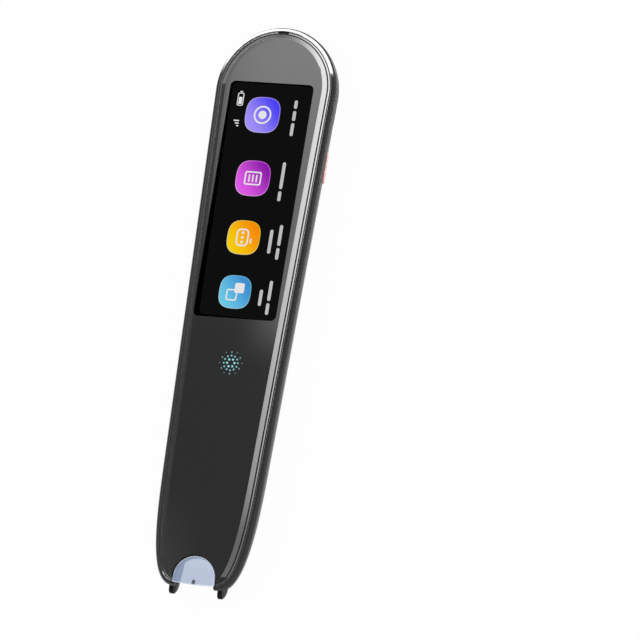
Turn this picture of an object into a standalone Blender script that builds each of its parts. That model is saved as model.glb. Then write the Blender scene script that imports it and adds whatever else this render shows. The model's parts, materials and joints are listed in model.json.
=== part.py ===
"""Handheld text-scanning pen, lying on its back.

X points to the side with the key, Y to the round head and Z out of the screen. The origin is on the
surface that the pen lies on, under the middle of its length. Places along the pen are measured from the
ends of its legs, and heights from the bottom of its back. Everything is in metres.
"""

import math

import bmesh
import bpy
from mathutils import Vector

# Outline of the pen from the front
body_length = 0.1457
head_radius = 0.0167
head_half_width = 0.0164
nose_length = 0.0337
nose_half_width = 0.01385
nose_core_half_width = 0.0036
mouth_half_width = 0.0061
nose_fullness = 3.5
mouth_step = 0.00002
head_points = 14
side_points = 7
nose_points = 14

# Section of the pen
thickness = 0.0101
parting_drop = 0.0021
hull_inset = 0.0106
hull_fullness = 2.5
hull_levels = 11
nose_lift = 0.0041
nose_lift_length = 0.030
wall = 0.0012
leg_end = 0.0012

# Clearances
gap = 0.0003
solder_gap = 0.0001
overrun = 0.002
join_overlap = 0.0004

# Cover glass
glass_thickness = 0.0008
glass_inset = 0.0022
glass_tip_inset = 0.0018
chamfer_width = 0.0010
chamfer_tip_width = 0.00035
chamfer_drop = 0.0006

# Front frame
lip_drop = 0.0008
lip_inner_inset = 0.0019
lip_inner_tip_inset = 0.0015
lip_outer_inset = 0.00105
lip_outer_tip_inset = 0.00095
shoulder_inset = 0.0004
shoulder_drop = 0.00115
web_thickness = 0.0008
skirt_length = 0.0014
skirt_wall = 0.0008
microphone_notch = (0.0030, 0.0005)

# Clear window at the tip
window_half_width = 0.0056
window_apex = 0.0079
window_foot = 0.0009
window_ledge = 0.0004

# Scanning notch and the sliding liner round it
notch_half_width = 0.0060
notch_apex = 0.0125
liner_wall = 0.0012
trigger_travel = 0.0004
foot_reach = 0.0018
foot_profile = (
    (0.0012, 0.0024),
    (-0.0007, 0.0024),
    (-0.0015, 0.0029),
    (-0.0018, 0.0036),
    (-0.0014, 0.0046),
    (-0.0006, 0.0057),
    (0.0004, 0.0064),
    (0.0026, 0.0066),
    (0.0026, 0.0050),
)
foot_rounding = 0.00025
ear_reach = 0.0018
ear_span = (0.0085, 0.0100)
ear_heights = (0.0047, 0.0074)
stop_reach = 0.0022
stop_span = (0.0066, 0.0080)
stop_heights = (0.0047, 0.0064)
post_across = (0.0056, 0.0069)
post_heights = (0.0046, 0.0058)
post_span = (0.0088, 0.0184)
nose_pin_radius = 0.0005
nose_pin_length = 0.0012
port_size = (0.0090, 0.0036)

# Camera and lights behind the notch
camera_height = 0.0052
camera_window_size = (0.0098, 0.0005, 0.0040)
light_size = (0.0018, 0.0011, 0.0016)
light_spacing = 0.0034
light_board_size = (0.0100, 0.0004, 0.0036)
lens_radius = 0.0013
lens_length = 0.0018
camera_size = (0.0052, 0.0042, 0.0036)
tip_board_half_width = 0.0085
tip_board_thickness = 0.00065
tip_board_length = 0.0085
switch_size = (0.0036, 0.0032, 0.0027)
switch_socket_radius = 0.0009
switch_socket_depth = 0.0014
camera_flex_across = (-0.0080, -0.0045)
flex_thickness = 0.00012

# Battery
battery_start = 0.0250
battery_to_board = 0.0030
battery_half_width = 0.0090
battery_heights = (0.0028, 0.0065)
battery_rounding = 0.0009
lead_width = 0.0040
lead_thickness = 0.0003
lead_length = 0.0036
connector_size = (0.0050, 0.0030, 0.0010)

# Main board, whose pieces are placed across and back from the head end
board_below_display = 0.0071
board_inset = 0.0030
board_thickness = 0.0008
board_top = 0.0065
lower_screw_across = 0.0098
lower_screw_below_display = 0.0036
upper_screw_across = 0.0085
upper_screw_from_head = 0.0100
screw_head_radius = 0.0011
screw_head_height = 0.0005
screw_shank_radius = 0.0005
screw_length = 0.0023
screw_crown_share = 0.7
boss_radius = 0.0016
processor_from_head = (0.0000, 0.0620)
processor_size = (0.0120, 0.0120, 0.0012)
memory_from_head = (-0.0010, 0.0490)
memory_size = (0.0100, 0.0080, 0.0010)
power_chip_from_head = (0.0055, 0.0735)
power_chip_size = (0.0050, 0.0050, 0.0009)
wireless_from_head = (-0.0058, 0.0360)
wireless_size = (0.0110, 0.0130, 0.0016)
antenna_from_head = (-0.0090, 0.0170)
antenna_size = (0.0020, 0.0070, 0.0012)
microphone_from_head = (0.0000, 0.0055)
microphone_size = (0.0035, 0.0026, 0.0010)

# Display
display_inset = 0.0043
display_length = 0.0653
display_from_head = 0.0136
panel_thickness = 0.0007
tray_thickness = 0.0008
tray_edge = 0.0003
display_flex_width = 0.0100
display_flex_reach = 0.0060
display_connector_size = (0.0110, 0.0030, 0.0005)

# Status light
status_light_across = 0.0006
status_light_below_display = 0.0093
guide_radius = 0.0033
guide_thickness = 0.0007
status_board_size = (0.0090, 0.0080, 0.0005)

# Speaker
grille_slot_width = 0.00072
grille_pitch = 0.00186
grille_first = 0.00093
grille_rise = 0.0022
grille_lengths = (0.0053, 0.0033, 0.0016)
grille_slant = math.radians(31)
grille_slant_length = 0.0050
grille_slant_middle = 0.0029
grille_slant_rises = (0.0034, 0.0013)
mesh_half_size = 0.0057
mesh_thickness = 0.00025
speaker_width = 0.0150
speaker_height = 0.0022
speaker_clearance = 0.0005
speaker_rounding = 0.0012

# Key on the side
key_from_head = 0.03505
key_drop = 0.0052
key_length = 0.0083
key_width = 0.0023
key_proud = 0.00045
key_rounding = 0.0003
key_travel = 0.0004
flange_margin = 0.0006
flange_thickness = 0.0006
key_pin_length = 0.0014
key_pin_radius = 0.00045
key_switch_size = (0.0026, 0.0042, 0.0018)
key_socket_radius = 0.0008
key_socket_depth = 0.0012

# Card slot
card_from_head = (0.0239, 0.0112)
card_drop = 0.0048
card_opening = 0.0010
card_socket_size = (0.0115, 0.0128, 0.0011)
card_socket_inset = 0.0034
card_mouth = (0.0112, 0.0006)
card_mouth_depth = 0.0090

# Charging socket at the head
usb_height = 0.0039
usb_size = (0.0089, 0.0032)
usb_wall = 0.0003
usb_length = 0.0070
usb_from_head = 0.0024
usb_depth = 0.0062
usb_tongue = (0.0062, 0.0007)

# Shared shapes
arc_points = 14
round_points = 24
smooth_angle = math.radians(35)

# Worked out from the sizes above
parting_height = thickness - parting_drop
middle = (body_length - foot_reach) / 2
glass_under = thickness - glass_thickness
web_top = glass_under - gap
web_under = web_top - web_thickness
frame_under = parting_height + gap
frame_clearance = wall + gap
liner_half_width = notch_half_width + liner_wall
liner_apex = notch_apex + liner_wall
liner_top = web_under - gap
shell_notch_half_width = liner_half_width + gap
shell_notch_apex = liner_apex + trigger_travel + gap / 2
key_height = thickness - key_drop
card_height = thickness - card_drop
board_under = board_top - board_thickness
part_under = board_under - solder_gap
display_half_width = head_half_width - display_inset
display_end = body_length - display_from_head
display_span = (display_end - display_length, display_end)
board_start = display_span[0] - board_below_display
battery_span = (battery_start, board_start - battery_to_board)
status_light_place = (status_light_across, display_span[0] - status_light_below_display)
lower_screw = (lower_screw_across, display_span[0] - lower_screw_below_display)
upper_screw = (upper_screw_across, body_length - upper_screw_from_head)
screw_places = (lower_screw, upper_screw)
grille_centre = (0.0, body_length - head_radius)
key_place = body_length - key_from_head
card_span = (body_length - card_from_head[0], body_length - card_from_head[1])
card_socket_outer = head_half_width - card_socket_inset
usb_end = body_length - usb_from_head
speaker_length = 2 * (head_radius - usb_from_head - usb_length - speaker_clearance)


def finish(name, colour, roughness, metallic=0.0, alpha=1.0):
    material = bpy.data.materials.new(name)
    material.use_nodes = True
    shader = material.node_tree.nodes["Principled BSDF"]
    shader.inputs["Base Color"].default_value = (*colour, 1.0)
    shader.inputs["Roughness"].default_value = roughness
    shader.inputs["Metallic"].default_value = metallic
    shader.inputs["Alpha"].default_value = alpha
    return material


def add_object(name, mesh, material, centre=(0.0, 0.0, 0.0)):
    """Centre is given as across, along the pen from the leg ends, and height."""
    body = bpy.data.objects.new(name, mesh)
    bpy.context.scene.collection.objects.link(body)
    body.location = (centre[0], centre[1] - middle, centre[2])
    body.parent = pen
    if material:
        mesh.materials.append(material)
    return body


def mesh_from(name, points, faces):
    mesh = bpy.data.meshes.new(name)
    mesh.from_pydata(points, [], faces)
    work = bmesh.new()
    work.from_mesh(mesh)
    bmesh.ops.recalc_face_normals(work, faces=work.faces)
    work.to_mesh(mesh)
    work.free()
    mesh.shade_smooth()
    mesh.set_sharp_from_angle(angle=smooth_angle)
    return mesh


def as_cutter(body):
    body.hide_render = True
    body.display_type = "WIRE"
    return body


def combine(body, other, operation):
    step = body.modifiers.new(other.name, "BOOLEAN")
    step.operation = operation
    step.solver = "EXACT"
    step.object = as_cutter(other)


def cut(body, *others):
    for other in others:
        combine(body, other, "DIFFERENCE")


def join(body, *others):
    for other in others:
        combine(body, other, "UNION")


def soften(body, width, segments=2):
    step = body.modifiers.new("Rounding", "BEVEL")
    step.width = width
    step.segments = segments
    step.limit_method = "ANGLE"


def side_half_width(along):
    """Half width of the outline on its straight taper."""
    share = (along - nose_length) / (body_length - head_radius - nose_length)
    return nose_half_width + (head_half_width - nose_half_width) * share


def half_outline():
    """The right half of the outline, from the middle of the head to the corner of the mouth."""
    centre = body_length - head_radius
    points = []
    for step in range(head_points):
        turn = math.pi / 2 * step / head_points
        points.append((head_half_width * math.sin(turn), centre + head_radius * math.cos(turn)))
    for step in range(side_points):
        along = centre - (centre - nose_length) * step / side_points
        points.append((side_half_width(along), along))
    power = 2 / nose_fullness
    core = nose_core_half_width
    share = (mouth_half_width - core) / (side_half_width(0.0) - core)
    last_turn = math.acos(share ** (1 / power))
    for step in range(nose_points + 1):
        turn = last_turn * step / nose_points
        along = nose_length * (1 - (math.sin(turn) / math.sin(last_turn)) ** power)
        across = core + (side_half_width(along) - core) * math.cos(turn) ** power
        points.append((across, along))
    return points


def half_normals(points):
    """Outward directions at those points, the last one mitred to keep the mouth's width at every inset."""
    normals = [Vector((0.0, 1.0))]
    for before, after in zip(points, points[2:]):
        run = Vector(after) - Vector(before)
        normals.append(Vector((-run.y, run.x)).normalized())
    last = Vector(points[-1]) - Vector(points[-2])
    normals.append(Vector((0.0, last.length / last.x)))
    return normals


def ring(inset, height, tip_inset=None):
    """The closed outline at a height, inset by a length that may differ at the tip.

    A wide inset would fold back on itself beside the mouth, so the points there keep a least step apart.
    """
    right = []
    for (across, along), normal in zip(base_outline, base_normals):
        along_inset = inset if tip_inset is None or normal.y > 0 else tip_inset
        x = max(across - normal.x * inset, 0.0)
        y = along - normal.y * along_inset
        right.append((x, y, height))
    for step in range(len(right) - 2, head_points + side_points, -1):
        x, y, z = right[step]
        right[step] = (max(x, right[step + 1][0] + mouth_step), max(y, right[step + 1][1]), z)
    left = [(-x, y, z) for x, y, z in right[1:]]
    return right + left[::-1]


def ladder(first, count, facing_up):
    """Rungs between the two halves of a ring, which fill it while it bends along the pen only."""
    half = (count - 1) // 2
    faces = [(first, first + 1, first + count - 1)]
    for step in range(1, half):
        faces.append((first + step, first + step + 1, first + count - step - 1, first + count - step))
    return faces if not facing_up else [face[::-1] for face in faces]


def outline_solid(name, rings):
    """A solid of stacked outline rings, closed by rungs at both ends."""
    count = len(rings[0])
    points = [point for level in rings for point in level]
    faces = ladder(0, count, False)
    for level in range(len(rings) - 1):
        for step in range(count):
            after = (step + 1) % count
            low = level * count
            faces.append((low + step, low + after, low + count + after, low + count + step))
    faces += ladder((len(rings) - 1) * count, count, True)
    return mesh_from(name, points, faces)


def stacked(name, rings):
    """A solid of stacked rings of points, closed by a flat face at both ends."""
    count = len(rings[0])
    points = [point for level in rings for point in level]
    last = (len(rings) - 1) * count
    faces = [tuple(range(count)), tuple(range(last, last + count))]
    for low in range(0, last, count):
        for step in range(count):
            after = (step + 1) % count
            faces.append((low + step, low + after, low + count + after, low + count + step))
    return mesh_from(name, points, faces)


def prism(name, profile, low, high, axis="Z"):
    """A closed profile extruded from low to high along an axis."""
    rings = []
    for end in (low, high):
        places = {"X": [(end, a, b) for a, b in profile], "Y": [(a, end, b) for a, b in profile]}
        rings.append(places.get(axis, [(a, b, end) for a, b in profile]))
    return stacked(name, rings)


def stadium(length, width, slant=0.0, centre=(0.0, 0.0)):
    """A slot outline with round ends, its length along the first axis, turned by slant."""
    radius = width / 2
    straight = length / 2 - radius
    outline = []
    for end in (1, -1):
        for step in range(arc_points // 2 + 1):
            turn = math.pi * step / (arc_points // 2) - math.pi / 2
            x = end * (straight + radius * math.cos(turn))
            y = end * radius * math.sin(turn)
            outline.append((x, y))
    cos, sin = math.cos(slant), math.sin(slant)
    return [(centre[0] + x * cos - y * sin, centre[1] + x * sin + y * cos) for x, y in outline]


def circle(radius):
    turns = [2 * math.pi * step / round_points for step in range(round_points)]
    return [(radius * math.cos(turn), radius * math.sin(turn)) for turn in turns]


def arch(half_width, apex, foot, sag=0.0):
    """An upright arch: straight sides, a round top and a foot that may bow down."""
    spring = apex - half_width
    outline = [(half_width, foot)]
    for step in range(2 * arc_points + 1):
        turn = math.pi * step / (2 * arc_points)
        outline.append((half_width * math.cos(turn), spring + half_width * math.sin(turn)))
    outline.append((-half_width, foot))
    if sag:
        for step in range(1, arc_points):
            share = step / arc_points
            outline.append((half_width * (2 * share - 1), foot - sag * 4 * share * (1 - share)))
    return outline


def arch_cutter(name, half_width, apex, low, high):
    mesh = prism(name, arch(half_width, apex, -foot_reach - overrun), low, high)
    return add_object(name, mesh, None)


def block(name, size, centre, material, rounding=0.0):
    x, y = size[0] / 2, size[1] / 2
    profile = [(-x, -y), (x, -y), (x, y), (-x, y)]
    body = add_object(name, prism(name, profile, -size[2] / 2, size[2] / 2), material, centre)
    if rounding:
        soften(body, rounding)
    return body


def span_block(name, across, along, heights, material, rounding=0.0):
    """A block between pairs of limits."""
    limits = (across, along, heights)
    size = [high - low for low, high in limits]
    centre = [(high + low) / 2 for low, high in limits]
    return block(name, size, centre, material, rounding)


def rod(name, radius, length, centre, material, axis):
    mesh = prism(name, circle(radius), -length / 2, length / 2, axis)
    return add_object(name, mesh, material, centre)


def nose_share(along):
    """How deep the hull still is towards the tip, as a share of its full depth."""
    left = max(1 - max(along, 0.0) / nose_lift_length, 0.0)
    return 1 - nose_lift / parting_height * left**2


def hull_rings(margin, floor, tip):
    """Rings of the hull from its back to the parting line, inset by a margin and raised to a floor."""
    reach = hull_inset - margin
    power = 2 / hull_fullness
    depth = parting_height - floor
    rings = []
    for level in range(hull_levels, -1, -1):
        turn = math.pi / 2 * level / hull_levels
        inset = margin + reach * (1 - max(math.cos(turn), 0.0) ** power)
        drop = depth * math.sin(turn) ** power
        rings.append([(x, y, parting_height - drop * nose_share(y)) for x, y, _ in ring(inset, 0.0, tip)])
    return rings


def hull_side(along, height, margin=0.0):
    """Half width of the hull on its taper, or of its hollow, whose margin and floor are one wall."""
    share = (parting_height - height) / (parting_height - margin)
    inset = margin + (hull_inset - margin) * (1 - (1 - share**hull_fullness) ** (1 / hull_fullness))
    return side_half_width(along) - inset


def side_line(along, height, width, margin=0.0):
    """Place and lean of the straight line between two heights on the side of the hull."""
    low = hull_side(along, height - width / 2, margin)
    high = hull_side(along, height + width / 2, margin)
    return (low + high) / 2, (high - low) / width


def hull_guide():
    """The whole outer hull as one solid, which trims what lies flush with it."""
    return add_object("hull_guide", outline_solid("hull_guide", hull_rings(0.0, 0.0, 0.0)), None)


def grille_cutter():
    """Two bundles of upright slots and two of slanted ones, each the other's half turn about the centre."""
    slots = []
    for order, length in enumerate(grille_lengths):
        aside = -(grille_first + grille_pitch * order)
        slots.append((aside, grille_rise, math.pi / 2, length))
    for rise in grille_slant_rises:
        slots.append((grille_slant_middle, rise, -grille_slant, grille_slant_length))
    work = bmesh.new()
    for aside, rise, slant, length in slots:
        for side in (1, -1):
            centre = (grille_centre[0] + side * aside, grille_centre[1] + side * rise)
            outline = stadium(length, grille_slot_width, slant, centre)
            work.from_mesh(prism("grille_slot", outline, -overrun, wall + gap))
    mesh = bpy.data.meshes.new("grille_cutter")
    work.to_mesh(mesh)
    work.free()
    return add_object("grille_cutter", mesh, None)


def make_back_shell():
    outer = hull_rings(0.0, 0.0, 0.0)
    inner = hull_rings(wall, wall, leg_end + wall)
    shell = add_object("back_shell", outline_solid("back_shell", outer + inner[::-1]), black_gloss)
    for side in (1, -1):
        across = sorted((side * (liner_half_width + gap), side * (liner_half_width + stop_reach)))
        join(shell, span_block("trigger_stop", across, stop_span, stop_heights, None))
    cut(shell, arch_cutter("shell_notch", shell_notch_half_width, shell_notch_apex, -overrun, thickness))
    width = head_half_width + overrun
    below = (-foot_reach - overrun, leg_end)
    cut(shell, span_block("leg_trim", (-width, width), below, (-overrun, thickness), None))
    cut(shell, grille_cutter())
    card = stadium(card_span[1] - card_span[0], card_opening)
    card_cut = prism("card_slot", card, card_socket_outer, width, "X")
    cut(shell, add_object("card_slot", card_cut, None, (0.0, sum(card_span) / 2, card_height)))
    key = stadium(key_length + gap, key_width + gap)
    key_cut = prism("key_hole", key, nose_half_width - wall - overrun, width, "X")
    cut(shell, add_object("key_hole", key_cut, None, (0.0, key_place, key_height)))
    usb = stadium(usb_size[0] + gap, usb_size[1] + gap)
    usb_cut = prism("usb_hole", usb, usb_end - usb_depth, body_length + overrun, "Y")
    cut(shell, add_object("usb_hole", usb_cut, None, (0.0, 0.0, usb_height)))
    return shell


def make_front_frame():
    lip_height = thickness - lip_drop
    skirt_under = parting_height - skirt_length
    skirt_tip = leg_end + frame_clearance
    levels = [
        (frame_clearance + skirt_wall, web_under, skirt_tip + skirt_wall),
        (frame_clearance + skirt_wall, skirt_under, skirt_tip + skirt_wall),
        (frame_clearance, skirt_under, skirt_tip),
        (frame_clearance, frame_under, skirt_tip),
        (0.0, frame_under),
        (shoulder_inset, thickness - shoulder_drop),
        (lip_outer_inset, lip_height, lip_outer_tip_inset),
        (lip_inner_inset, lip_height, lip_inner_tip_inset),
        (lip_inner_inset, web_top, lip_inner_tip_inset),
    ]
    mesh = outline_solid("front_frame", [ring(*level) for level in levels])
    frame = add_object("front_frame", mesh, black_gloss)
    for side in (1, -1):
        for across, along in screw_places:
            add_boss(frame, (side * across, along))
    notch_top = (web_under + frame_under) / 2
    cut(frame, arch_cutter("frame_notch", shell_notch_half_width, shell_notch_apex, 0.0, notch_top))
    ledge = window_half_width - window_ledge
    window_spring = window_apex - window_half_width
    cut(frame, arch_cutter("window_opening", ledge, window_spring + ledge, 0.0, thickness))
    pocket = window_half_width + gap
    cut(frame, arch_cutter("window_pocket", pocket, window_spring + pocket, web_top, thickness + overrun))
    opening = display_half_width + gap
    lower = display_span[0] - display_flex_reach / 4
    upper = display_span[1] + gap
    heights = (web_under - overrun, thickness)
    cut(frame, span_block("display_opening", (-opening, opening), (lower, upper), heights, None))
    centre = (*status_light_place, web_top)
    cut(frame, rod("light_opening", guide_radius + gap, 2 * web_thickness + overrun, centre, None, "Z"))
    notch_middle = body_length - (lip_inner_inset + lip_outer_inset) / 2
    size = (microphone_notch[0], microphone_notch[1], lip_drop)
    cut(frame, block("microphone_notch", size, (0.0, notch_middle, lip_height), None))
    return frame


def add_boss(frame, place):
    """A screw boss under the web, with a blind hole from below."""
    low = board_top + gap
    high = web_under + web_thickness / 2
    join(frame, rod("boss", boss_radius, high - low, (*place, (low + high) / 2), None, "Z"))
    top = web_under - solder_gap
    centre = (*place, (low + top - overrun) / 2)
    cut(frame, rod("boss_hole", screw_shank_radius + gap, top - low + overrun, centre, None, "Z"))


def make_front_glass():
    under = ring(glass_inset, glass_under, glass_tip_inset)
    edge = ring(glass_inset, thickness - chamfer_drop, glass_tip_inset)
    face = ring(glass_inset + chamfer_width, thickness, glass_tip_inset + chamfer_tip_width)
    glass = add_object("front_glass", outline_solid("front_glass", [under, edge, face]), dark_glass)
    pocket = window_half_width + gap
    apex = window_apex + gap
    cut(glass, arch_cutter("glass_notch", pocket, apex, glass_under - overrun, thickness + overrun))
    return glass


def make_scan_window():
    outline = arch(window_half_width, window_apex, window_foot, window_ledge / 2)
    mesh = prism("scan_window", outline, glass_under, thickness)
    return add_object("scan_window", mesh, clear_plate)


def make_tip_trigger():
    """The liner of the notch, flush with the hull, with its feet, ears, port and post for the switch."""
    outer = arch(liner_half_width, liner_apex, -foot_reach)
    trigger = add_object("tip_trigger", prism("tip_trigger", outer, -overrun, liner_top), satin_black)
    combine(trigger, hull_guide(), "INTERSECT")
    foot_line = [(along, thickness - drop) for along, drop in foot_profile]
    for side in (1, -1):
        across = sorted((side * notch_half_width / 2, side * liner_half_width))
        foot = add_object("foot", prism("foot", foot_line, *across, "X"), None)
        soften(foot, foot_rounding)
        ear_across = sorted((side * notch_half_width, side * (liner_half_width + ear_reach)))
        join(trigger, foot, span_block("ear", ear_across, ear_span, ear_heights, None))
    join(trigger, span_block("post", post_across, post_span, post_heights, None))
    cut(trigger, arch_cutter("liner_notch", notch_half_width, notch_apex, -2 * overrun, thickness))
    port = prism("port", stadium(*port_size), notch_apex / 2, liner_apex + overrun, "Y")
    cut(trigger, add_object("port", port, None, (0.0, 0.0, camera_height)))
    pin_centre = (sum(post_across) / 2, post_span[1] + nose_pin_length / 2, sum(post_heights) / 2)
    pin = rod("switch_pin", nose_pin_radius, nose_pin_length + join_overlap, pin_centre, None, "Y")
    join(trigger, pin)
    return trigger


def make_camera():
    """Dark window, lights and camera stand in line behind the port, under a small board."""
    along = shell_notch_apex + solder_gap
    window_centre = (0.0, along + camera_window_size[1] / 2, camera_height)
    block("camera_window", camera_window_size, window_centre, dark_glass)
    along += camera_window_size[1] + gap
    for name, side in (("scan_light_left", -1), ("scan_light_right", 1)):
        centre = (side * light_spacing, along + light_size[1] / 2, camera_height)
        block(name, light_size, centre, light_body)
    lens_centre = (0.0, along + lens_length / 2, camera_height)
    rod("camera_lens", lens_radius, lens_length, lens_centre, lens_black, "Y")
    board_along = along + light_size[1] + solder_gap + light_board_size[1] / 2
    board = block("light_board", light_board_size, (0.0, board_along, camera_height), board_green)
    cut(board, rod("lens_hole", lens_radius + gap, overrun, (0.0, board_along, camera_height), None, "Y"))
    camera_along = along + lens_length + solder_gap + camera_size[1] / 2
    block("camera_housing", camera_size, (0.0, camera_along, camera_height), satin_black)
    half = tip_board_half_width
    top = web_under - gap
    start = shell_notch_apex + gap
    tip_span = (start, start + tip_board_length)
    span_block("tip_board", (-half, half), tip_span, (top - tip_board_thickness, top), board_green)
    return tip_span[1], top - tip_board_thickness


def make_trigger_switch(board_face):
    """It hangs under the tip board and takes the trigger's pin into its socket."""
    across = sum(post_across) / 2
    front = post_span[1] + trigger_travel + gap / 2
    height = board_face - solder_gap - switch_size[2] / 2
    centre = (across, front + switch_size[1] / 2, height)
    switch = block("trigger_switch", switch_size, centre, satin_black)
    hole = (across, front + switch_socket_depth / 2 - overrun / 2, sum(post_heights) / 2)
    cut(switch, rod("switch_socket", switch_socket_radius, switch_socket_depth + overrun, hole, None, "Y"))


def make_battery():
    body_span = (-battery_half_width, battery_half_width)
    span_block("battery", body_span, battery_span, battery_heights, battery_foil, battery_rounding)
    start = battery_span[1] + gap
    height = part_under - connector_size[2] / 2
    centre = (lead_width, start + lead_length / 2, height)
    block("battery_lead", (lead_width, lead_length, lead_thickness), centre, flex_orange)
    along = start + lead_length + solder_gap + connector_size[1] / 2
    block("battery_connector", connector_size, (lead_width, along, height), pale_plastic)


def make_camera_flex(board_face):
    """A flat strip from under the tip board, over the battery, to the main board."""
    along = (battery_span[0] - lead_length, board_start + lead_length)
    top = board_face - gap
    span_block("camera_flex", camera_flex_across, along, (top - flex_thickness, top), flex_orange)


def make_main_board():
    rings = [ring(board_inset, board_under), ring(board_inset, board_top)]
    board = add_object("main_board", outline_solid("main_board", rings), board_green)
    width = head_half_width + overrun
    below = (-overrun, board_start)
    cut(board, span_block("board_trim", (-width, width), below, (0.0, thickness), None))
    number = 1
    for side in (1, -1):
        for across, along in screw_places:
            place = (side * across, along)
            centre = (*place, board_under)
            cut(board, rod("board_hole", screw_shank_radius + gap, thickness, centre, None, "Z"))
            make_screw(f"board_screw_{number}", place)
            number += 1


def make_screw(name, place):
    """A pan head below the board, with its shank up through it into the boss."""
    head_top = board_under - solder_gap
    levels = [
        (screw_head_radius * screw_crown_share, head_top - screw_head_height),
        (screw_head_radius, head_top - screw_head_height / 2),
        (screw_head_radius, head_top),
        (screw_shank_radius, head_top),
        (screw_shank_radius, head_top + screw_length),
    ]
    rings = [[(x, y, height) for x, y in circle(radius)] for radius, height in levels]
    add_object(name, stacked(name, rings), steel, (*place, 0.0))


def under_board(name, from_head, size, material):
    across, reach = from_head
    block(name, size, (across, body_length - reach, part_under - size[2] / 2), material)


def make_board_parts():
    under_board("processor", processor_from_head, processor_size, chip_black)
    under_board("memory_chip", memory_from_head, memory_size, chip_black)
    under_board("power_chip", power_chip_from_head, power_chip_size, chip_black)
    under_board("wireless_module", wireless_from_head, wireless_size, steel)
    under_board("chip_antenna", antenna_from_head, antenna_size, pale_plastic)
    height = board_top + solder_gap + microphone_size[2] / 2
    across, reach = microphone_from_head
    block("microphone", microphone_size, (across, body_length - reach, height), steel)


def make_display():
    half = display_half_width
    panel_low = web_top - panel_thickness
    span_block("display_panel", (-half, half), display_span, (panel_low, web_top), dark_glass)
    tray_top = panel_low - gap / 2
    tray_low = tray_top - tray_thickness
    tray_span = (display_span[0] + tray_edge, display_span[1])
    span_block("backlight_tray", (-half, half), tray_span, (tray_low, tray_top), steel)
    front = display_span[0] - gap - flex_thickness
    low = board_top + solder_gap + display_connector_size[2] / 2
    reach = display_span[0] + display_flex_reach
    profile = [
        (front, panel_low + panel_thickness / 2),
        (front, low),
        (reach, low),
        (reach, low + flex_thickness),
        (front + flex_thickness, low + flex_thickness),
        (front + flex_thickness, panel_low + panel_thickness / 2),
    ]
    half_flex = display_flex_width / 2
    add_object("display_flex", prism("display_flex", profile, -half_flex, half_flex, "X"), flex_orange)
    centre_along = reach + solder_gap + display_connector_size[1] / 2
    height = board_top + solder_gap + display_connector_size[2] / 2
    block("display_connector", display_connector_size, (0.0, centre_along, height), pale_plastic)


def make_status_light():
    guide_centre = (*status_light_place, web_top - guide_thickness / 2)
    rod("status_light_guide", guide_radius, guide_thickness, guide_centre, light_body, "Z")
    height = web_under - gap - status_board_size[2] / 2
    block("status_light_board", status_board_size, (*status_light_place, height), board_green)


def make_speaker():
    size = 2 * mesh_half_size
    mesh_low = wall + gap
    mesh_centre = (*grille_centre, mesh_low + mesh_thickness / 2)
    block("speaker_mesh", (size, size, mesh_thickness), mesh_centre, satin_black)
    low = mesh_low + mesh_thickness + gap
    centre = (*grille_centre, low + speaker_height / 2)
    size = (speaker_width, speaker_length, speaker_height)
    block("speaker", size, centre, satin_black, speaker_rounding)


def make_power_button():
    """A round-ended key leaning with the hull's side, a flange that keeps it in and a pin for its switch."""
    flange = (key_length + 2 * flange_margin, key_width + flange_margin)
    side, lean = side_line(key_place, key_height, key_width)
    inner, inner_lean = side_line(key_place, key_height, flange[1], wall)
    inner -= gap
    face = side + key_proud
    flange_back = inner - flange_thickness
    key = (key_length, key_width)
    eased = (key_length - key_rounding / 2, key_width - key_rounding / 2)
    rounded = (key_length - 2 * key_rounding, key_width - 2 * key_rounding)
    levels = [
        (flange_back, flange, inner_lean),
        (inner, flange, inner_lean),
        (inner, key, inner_lean),
        (face - key_rounding, key, lean),
        (face - key_rounding / 3, eased, lean),
        (face, rounded, lean),
    ]
    rings = [[(x + z * tilt, y, z) for y, z in stadium(*size)] for x, size, tilt in levels]
    centre = (0.0, key_place, key_height)
    button = add_object("power_button", stacked("power_button", rings), key_pink, centre)
    pin_middle = (flange_back - key_pin_length / 2, key_place, key_height)
    join(button, rod("key_pin", key_pin_radius, key_pin_length + 2 * join_overlap, pin_middle, None, "X"))
    mouth = flange_back - gap - key_travel - inner_lean * flange[1] / 2
    centre = (mouth - key_switch_size[0] / 2, key_place, part_under - key_switch_size[2] / 2)
    switch = block("button_switch", key_switch_size, centre, steel)
    hole = (mouth - key_socket_depth / 2 + overrun / 2, key_place, key_height)
    cut(switch, rod("key_socket", key_socket_radius, key_socket_depth + overrun, hole, None, "X"))


def make_card_socket():
    width, length, height = card_socket_size
    centre = (card_socket_outer - width / 2, sum(card_span) / 2, part_under - height / 2)
    socket = block("card_socket", card_socket_size, centre, steel)
    mouth = stadium(card_mouth[0], card_mouth[1])
    low = card_socket_outer - card_mouth_depth
    cutter = prism("card_mouth", mouth, low, card_socket_outer + overrun, "X")
    cut(socket, add_object("card_mouth", cutter, None, (0.0, centre[1], centre[2])))


def make_usb_socket():
    start = usb_end - usb_length
    body = prism("usb_socket", stadium(*usb_size), start, usb_end, "Y")
    socket = add_object("usb_socket", body, steel, (0.0, 0.0, usb_height))
    bore = stadium(usb_size[0] - 2 * usb_wall, usb_size[1] - 2 * usb_wall)
    bore_cut = prism("usb_bore", bore, usb_end - usb_depth, usb_end + overrun, "Y")
    cut(socket, add_object("usb_bore", bore_cut, None, (0.0, 0.0, usb_height)))
    tongue_span = (start + usb_wall, usb_end - usb_wall)
    across = (-usb_tongue[0] / 2, usb_tongue[0] / 2)
    heights = (usb_height - usb_tongue[1] / 2, usb_height + usb_tongue[1] / 2)
    join(socket, span_block("usb_tongue", across, tongue_span, heights, None))


for old in list(bpy.data.objects):
    bpy.data.objects.remove(old)

pen = bpy.data.objects.new("pen", None)
bpy.context.scene.collection.objects.link(pen)
base_outline = half_outline()
base_normals = half_normals(base_outline)

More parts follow.
